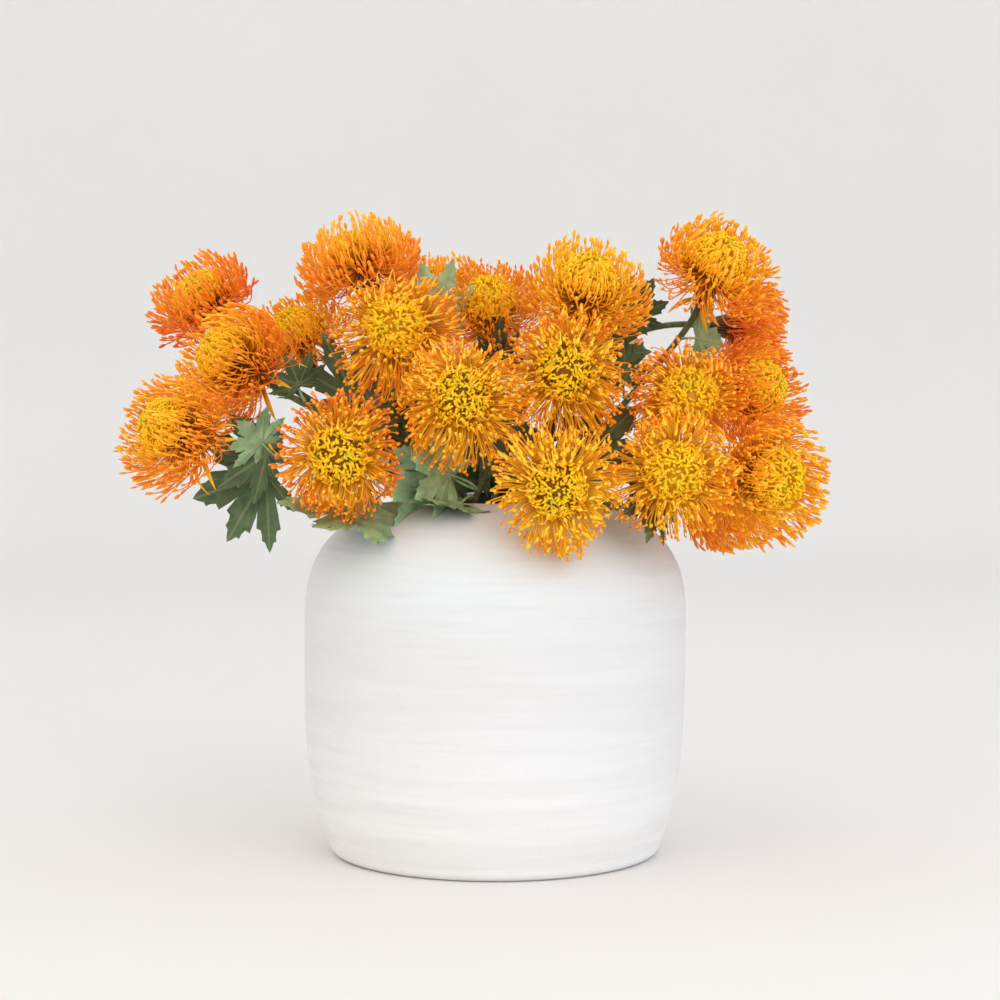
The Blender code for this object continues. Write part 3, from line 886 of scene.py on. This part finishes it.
def make_cups(s):
    """A ridged cup widening from the stem, with pointed bracts curling back from its foot."""
    finish = cup_finish(s)
    profile = np.array(CUP_PROFILE)
    rows = len(profile)
    turns = np.arange(CUP_SIDES) * (tau / CUP_SIDES)
    cup = revolved_points(profile, turns, CUP_RIDGE_DEPTH * np.cos(turns * CUP_RIDGES)[None, :])
    cup_map = tube_map(np.full((1, rows), 0.24), 0.44, np.linspace(0, 1, rows), CUP_SIDES)
    cup_faces = tube_faces(1, rows - 2, CUP_SIDES)
    steps, widths = np.array(BRACT_STEPS), np.array(BRACT_WIDTHS)
    for flower in FLOWERS:
        rng = chance(flower, 3)
        count = s.bract_count
        turn = np.arange(count) * tau / count + rng.normal(0, 0.25, count)
        size = rng.uniform(0.7, 1.25, count) * LONG_BRACTS.get(flower, 1.0)
        root = around(0.0045, turn, 0.004)
        first = around(0.013 * size, turn, 0.004)
        second = around(0.022 * size, turn, -0.001)
        tip = around(0.026 * size, turn + rng.normal(0, 0.2, count), -0.011 * size)
        corners, flat = [root, first, second, tip], widths * BRACT_FLATNESS
        hue = np.full((count, len(steps)), 0.75) + rng.normal(0, 0.05, (count, 1))
        bracts = tubes(corners, steps, widths, flat, turn, hue, 0.2, steps, BRACT_SIDES)
        points, faces, uvs = joined([(cup, cup_faces, cup_map), bracts])
        piece = add_piece("cup_" + flower, placed(points, flower), faces, [finish], uvs)


def leaf_pose(flower, share, tip, top):
    """A leaf's petiole base, its axes as columns, and its length."""
    foot, mouth, first, last, neck, end = stem_corners(flower)
    knots = np.linspace(0, 1, STEM_BENDS)
    bend = cubic([p[None] for p in (mouth, first, last, neck)], knots)[0]
    step = share * (STEM_BENDS - 1)
    index = int(step)
    way = unit(bend[index + 1] - bend[index])
    root = bend[index] + (bend[index + 1] - bend[index]) * (step - index)
    tip = np.array(tip) / 1000
    along = unit(tip - root)
    slant = along @ way
    across = unit(along - way * slant)
    base = root + across * (STEM_RADIUS * 0.9)
    length = np.linalg.norm(tip - base)
    along = unit(tip - base)
    normal = unit(np.array(top) - along * (top @ along))
    return base, columns(along, np.cross(normal, along), normal), length


def leaf_outline(rng):
    """The toothed edge round the hub: turn, reach, the lobe's own turn and reach, row by row."""
    rows = []
    half = [(math.atan2(off, reach), math.hypot(off, reach)) for reach, off in LOBE_EDGE]
    for number, (turn, share) in enumerate(LEAF_LOBES):
        vein = radians(turn + rng.normal(0, 2.0))
        share = share * rng.uniform(0.93, 1.05)
        bays = []
        for way in (-1, 1):
            beside = number + way
            gap = 39 if not 0 <= beside < len(LEAF_LOBES) else abs(LEAF_LOBES[beside][0] - turn)
            bays.append(radians(gap) * 0.485)
        left = [(vein - min(a, bays[0]), r * share, vein, share) for a, r in half[::-1]]
        right = [(vein + min(a, bays[1]), r * share, vein, share) for a, r in half[1:]]
        rows += left + right
    rows = sorted(rows)
    tail_turn, tail_reach = pi - 0.35, 0.1
    first, last = (-tail_turn, tail_reach, *rows[0][2:]), (tail_turn, tail_reach, *rows[-1][2:])
    return np.array([first, *rows, last])


def leaf_parts(rng, length, width, s):
    """The blade: rings outwards on top, over the edge and back inwards below, closed at its hub.

    Height: sag by the square of the reach, folds up beside each lobe's vein, slow ruffles.
    """
    outline = leaf_outline(rng)
    reach = length * (1 - LEAF_HUB)
    rings = np.array(LEAF_RINGS)[:, None]
    turn, edge, vein, lobe = (outline[:, k][None, :] for k in range(4))
    radius = rings * edge * reach
    x, y = radius * np.cos(turn), radius * np.sin(turn) * width
    off = radius * np.sin(turn - vein)
    phase = rng.uniform(0, tau, 3)
    bend = rng.uniform(0.7, 1.3)
    z = -LEAF_SAG * bend * (x * x + y * y) / reach
    z = z + LEAF_FOLD * np.abs(off) * (1 - 0.35 * rings)
    z = z + reach * LEAF_RUFFLE * np.sin(5 * turn + phase[0]) * rings**2 * edge
    z = z + reach * LEAF_RIPPLE * np.sin(radius / reach * 16 + turn * 3 + phase[1]) * rings
    own = columns(radius * np.cos(turn - vein), off) / (reach * lobe)[..., None]
    last = len(rings) - 1
    order = np.concatenate([np.arange(last + 1), np.arange(last)[::-1]])
    way = np.repeat([1.0, -1.0], [last + 1, last])[:, None]
    half = 0.5 * s.blade * np.sqrt(1 - rings)[order] * way
    hub = np.array([[0.0, 0.0, 0.5 * s.blade]])
    points = columns(x[order], y[order], z[order] + half).reshape(-1, 3)
    points = np.concatenate([hub, points, -hub])
    own = np.concatenate([[(0.0, 0.0)], own[order].reshape(-1, 2), [(0.0, 0.0)]])
    quads, tris = tube_faces(1, len(order), len(outline))
    quads, tris = np.roll(quads[:, ::-1], 1, 1), tris[:, ::-1]
    flat = (points[:, :2] / reach + (0.85, 1.05)) / 2.1
    flat = np.clip(flat, 0, 1) * (0.45, 0.94) + (0.01, 0.03)
    below = [np.arange(len(faces)) >= len(faces) // 2 for faces in (quads, tris)]
    shift = np.concatenate([np.repeat(below[0], 4), np.repeat(below[1], 3)]) * 0.47
    corners = np.concatenate([quads.ravel(), tris.ravel()])
    uvs = flat[corners] + columns(shift, 0)
    return points, (quads, tris), uvs, own[corners], np.concatenate(below)


def petiole_parts(length):
    """A tapering stalk from the base to just past the hub, under the blade."""
    hub = length * LEAF_HUB
    steps = np.array(PETIOLE_STEPS)
    line = columns((steps - 1) * hub, 0, -0.0009 - 0.004 * np.sin(np.clip(steps, 0, 1) * pi))
    across = np.array([[0.0, 1.0, 0.0]])
    points = tube_points(line[None], PETIOLE_RADII, PETIOLE_RADII, across, PETIOLE_SIDES)
    uvs = tube_map(np.full((1, len(steps)), 0.97), 0.03, steps / 1.14, PETIOLE_SIDES)
    return points, tube_faces(1, len(steps) - 2, PETIOLE_SIDES), uvs


def make_leaves(s):
    """Every leaf: its blade's two sides and its petiole, put on its stem."""
    top = leaf_finish("leaf_top", s.leaf_top, s.vein, 0.55)
    under = leaf_finish("leaf_under", s.leaf_under, (0.42, 0.48, 0.25), 0.4)
    for name, (flower, share, tip, facing, width) in (*LEAVES.items(), *MORE_LEAVES.items()):
        rng = chance(name, 4)
        base, axes, length = leaf_pose(flower, share, tip, facing)
        points, (quads, tris), uvs, veins, finish_of = leaf_parts(rng, length, width, s)
        stalk, (stalk_quads, stalk_tris), stalk_map = petiole_parts(length)
        start = len(points)
        faces = [quads, tris, stalk_quads + start, stalk_tris + start]
        stalk_corners = np.concatenate([stalk_quads.ravel(), stalk_tris.ravel()])
        uvs = np.concatenate([uvs, stalk_map[stalk_corners]])
        veins = np.concatenate([veins, np.tile([(0.5, 0.3)], (len(stalk_corners), 1))])
        finish_of = np.concatenate([finish_of, np.ones(len(stalk_quads) + len(stalk_tris))])
        points = np.concatenate([points, stalk])
        points = base + (points + (length * LEAF_HUB, 0, 0)) @ axes.T
        leaf = add_piece(
            "blade_" + name, points, faces, [top, under], uvs, veins, finish_of, radians(70)
        )
        if name in LEAVES:
            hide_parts("leaf_" + name)


def make_stage(s):
    """A floor that curves up into a wall all round, soft lights, and the camera."""
    arc = np.linspace(0, pi / 2, 9)
    inner = s.wall_radius - WALL_BEND
    curve = columns(inner + WALL_BEND * np.sin(arc), WALL_BEND * (1 - np.cos(arc)))
    flat = np.array([(r, 0.0) for r in (0.0, 0.3, 0.8, 1.6)])
    profile = np.concatenate([flat, curve, [(s.wall_radius, s.wall_height), (0.0, s.wall_height)]])
    points = revolved_points(profile, np.arange(STAGE_SIDES) * (tau / STAGE_SIDES))[:-1]
    quads, tris = tube_faces(1, len(profile) - 2, STAGE_SIDES)
    faces = [quads[:, ::-1], tris[:STAGE_SIDES, ::-1]]
    mesh = bpy.data.meshes.new("stage_floor")
    mesh.from_pydata(points.tolist(), [], [row.tolist() for rows in faces for row in rows])
    mesh.shade_smooth()
    mesh.materials.append(stage_finish(s))
    scene = bpy.context.scene
    floor = bpy.data.objects.new("stage_floor", mesh)
    scene.collection.objects.link(floor)
    world = bpy.data.worlds.new("soft_daylight")
    world.use_nodes = True
    sky = world.node_tree.nodes["Background"].inputs
    sky["Color"].default_value = SKY_COLOUR
    sky["Strength"].default_value = s.sky
    scene.world = world
    lights = (
        ("key", (1.3, -2.2, 1.3), 2.2, s.key_power, (0.95, 0.975, 1.0)),
        ("fill", (-1.4, -2.0, 1.2), 1.8, s.fill_power, (1.0, 0.78, 0.52)),
    )
    for name, place, size, power, colour in lights:
        data = bpy.data.lights.new(name, "AREA")
        data.shape, data.size = "DISK", size
        data.energy, data.color = power, colour
        light = bpy.data.objects.new(name, data)
        light.location = place
        aim = Vector(AIM) - Vector(place)
        light.rotation_euler = aim.to_track_quat("-Z", "Y").to_euler()
        scene.collection.objects.link(light)
    lens = bpy.data.cameras.new("camera")
    lens.lens, lens.sensor_width = s.lens, SENSOR_WIDTH
    camera = bpy.data.objects.new("camera", lens)
    camera.location = (0.0, -s.camera_distance, s.camera_height)
    camera.rotation_euler = (radians(90 - CAMERA_TILT), 0.0, radians(CAMERA_TURN))
    scene.collection.objects.link(camera)
    scene.camera = camera
    scene.view_settings.view_transform = "Standard"


# Operators and panel.


class PROTEA_OT_vase(bpy.types.Operator):
    """Throw the whitewashed vase."""

    bl_idname = "protea.vase"
    bl_label = "Vase"

    def execute(self, context):
        make_vase(context.scene.protea_vase)
        return {"FINISHED"}


class PROTEA_OT_stems(bpy.types.Operator):
    """Grow every stem."""

    bl_idname = "protea.stems"
    bl_label = "Stems"

    def execute(self, context):
        make_stems(context.scene.protea_foliage)
        return {"FINISHED"}


class PROTEA_OT_styles(bpy.types.Operator):
    """Grow the curled styles of every head."""

    bl_idname = "protea.styles"
    bl_label = "Styles"

    def execute(self, context):
        make_styles(context.scene.protea_flower)
        return {"FINISHED"}


class PROTEA_OT_hearts(bpy.types.Operator):
    """Grow the heart of every head."""

    bl_idname = "protea.hearts"
    bl_label = "Hearts"

    def execute(self, context):
        make_hearts(context.scene.protea_flower)
        return {"FINISHED"}


class PROTEA_OT_cups(bpy.types.Operator):
    """Grow the cup and bracts of every head."""

    bl_idname = "protea.cups"
    bl_label = "Cups and bracts"

    def execute(self, context):
        make_cups(context.scene.protea_flower)
        return {"FINISHED"}


class PROTEA_OT_leaves(bpy.types.Operator):
    """Grow every leaf."""

    bl_idname = "protea.leaves"
    bl_label = "Leaves"

    def execute(self, context):
        make_leaves(context.scene.protea_foliage)
        return {"FINISHED"}


class PROTEA_OT_stage(bpy.types.Operator):
    """Lay the floor, and place the lights and the camera."""

    bl_idname = "protea.stage"
    bl_label = "Stage"

    def execute(self, context):
        make_stage(context.scene.protea_stage)
        return {"FINISHED"}


OPERATORS = (
    PROTEA_OT_stage,
    PROTEA_OT_vase,
    PROTEA_OT_stems,
    PROTEA_OT_cups,
    PROTEA_OT_hearts,
    PROTEA_OT_styles,
    PROTEA_OT_leaves,
)
SETTINGS = {
    "protea_flower": FlowerSettings,
    "protea_foliage": FoliageSettings,
    "protea_vase": VaseSettings,
    "protea_stage": StageSettings,
}


class PROTEA_PT_panel(bpy.types.Panel):
    """Lists the makers and their settings."""

    bl_idname = "PROTEA_PT_panel"
    bl_label = "Protea flowers"
    bl_space_type = "VIEW_3D"
    bl_region_type = "UI"
    bl_category = "Protea"

    def draw(self, context):
        for operator in OPERATORS:
            self.layout.operator(operator.bl_idname)
        for holder, group in SETTINGS.items():
            box = self.layout.box()
            for key in group.__annotations__:
                box.prop(getattr(context.scene, holder), key)


def register():
    for group in (*SETTINGS.values(), *OPERATORS, PROTEA_PT_panel):
        bpy.utils.register_class(group)
    for holder, group in SETTINGS.items():
        setattr(bpy.types.Scene, holder, PointerProperty(type=group))


def unregister():
    for holder in SETTINGS:
        delattr(bpy.types.Scene, holder)
    for group in (PROTEA_PT_panel, *OPERATORS[::-1], *SETTINGS.values()):
        bpy.utils.unregister_class(group)


def main():
    """Makes everything in order."""
    register()
    for operator in OPERATORS:
        family, name = operator.bl_idname.split(".")
        getattr(getattr(bpy.ops, family), name)()
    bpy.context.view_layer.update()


if __name__ == "__main__":
    main()
